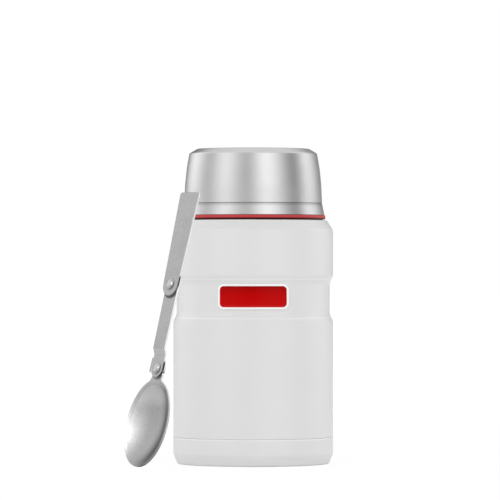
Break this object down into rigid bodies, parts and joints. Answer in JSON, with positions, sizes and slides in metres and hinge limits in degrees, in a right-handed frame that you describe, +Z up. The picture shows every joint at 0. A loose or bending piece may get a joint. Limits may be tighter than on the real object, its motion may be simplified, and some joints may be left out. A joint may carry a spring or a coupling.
{
  "type": "insulated food jar",
  "caption": "Vacuum-insulated steel food jar with a screw stopper, a screw-on lid that doubles as a bowl, and a folding spoon leaning on its side.",
  "frame": {"origin": "centre of the jar's foot ring, on the surface it stands on", "axes": "+Z up along the jar's axis, -Y towards the front with the badge, +X to the right seen from the front; the spoon leans on the front left"},
  "size_m": [0.1234, 0.1055, 0.1871],
  "materials": {
    "white_paint": "matt powder coat",
    "brushed_steel": "brushed",
    "satin_steel": "satin",
    "red_plastic": "semi-gloss",
    "badge_white": "gloss",
    "badge_red": "gloss enamel",
    "dark_plastic": "matt",
    "grey_plastic": "matt",
    "seal_rubber": "silicone",
    "foam": "closed-cell foam",
    "foil": "bright foil",
    "getter_metal": "sintered"
  },
  "bodies": {
    "jar": {"outer_shell": "white_paint", "base_cup": "white_paint", "neck_ring": "red_plastic", "badge_plate": "badge_white", "badge_inlay": "badge_red", "inner_vessel": "satin_steel", "vacuum_base": "satin_steel", "getter": "getter_metal", "reflective_foil": "foil"},
    "stopper_carrier": {"stopper_seal": "seal_rubber"},
    "stopper": {"stopper_body": "dark_plastic", "stopper_cover": "grey_plastic", "stopper_foam": "foam"},
    "lid_carrier": {"lid_gasket": "seal_rubber"},
    "lid": {"lid_shell": "brushed_steel", "lid_liner": "satin_steel", "lid_collar": "dark_plastic"},
    "spoon_middle": {"spoon_link": "satin_steel", "upper_rivet": "satin_steel", "lower_rivet": "satin_steel"},
    "spoon_top": {"spoon_handle": "satin_steel"},
    "spoon_end": {"spoon_bowl": "satin_steel"}
  },
  "joints": [
    {"name": "stopper_rise", "type": "slide", "parent": "jar", "child": "stopper_carrier", "axis": [0, 0, 1], "range_m": [0, 0.042]},
    {"name": "stopper_turn", "type": "hinge", "parent": "stopper_carrier", "child": "stopper", "pos_m": [0, 0, 0.1628], "axis": [0, 0, 1], "range_deg": [0, 1260]},
    {"name": "lid_rise", "type": "slide", "parent": "stopper", "child": "lid_carrier", "axis": [0, 0, 1], "range_m": [0, 0.04]},
    {"name": "lid_turn", "type": "hinge", "parent": "lid_carrier", "child": "lid", "pos_m": [0, 0, 0.187], "axis": [0, 0, 1], "range_deg": [0, 1200]},
    {"name": "spoon_lift", "type": "slide", "parent": "jar", "child": "spoon_middle", "axis": [0, 0, 1], "range_m": [0, 0.2]},
    {"name": "handle_fold", "type": "hinge", "parent": "spoon_middle", "child": "spoon_top", "pos_m": [-0.04764, -0.03139, 0.10658], "axis": [-0.7613, -0.5948, 0.258], "range_deg": [0, 180]},
    {"name": "bowl_fold", "type": "hinge", "parent": "spoon_middle", "child": "spoon_end", "pos_m": [-0.05785, -0.03936, 0.05808], "axis": [-0.7613, -0.5948, 0.258], "range_deg": [0, 180]}
  ],
  "couplings": [
    {"joint": "stopper_rise", "follows": "stopper_turn", "m_per_rad": 0.0019099},
    {"joint": "lid_rise", "follows": "lid_turn", "m_per_rad": 0.0019099}
  ]
}
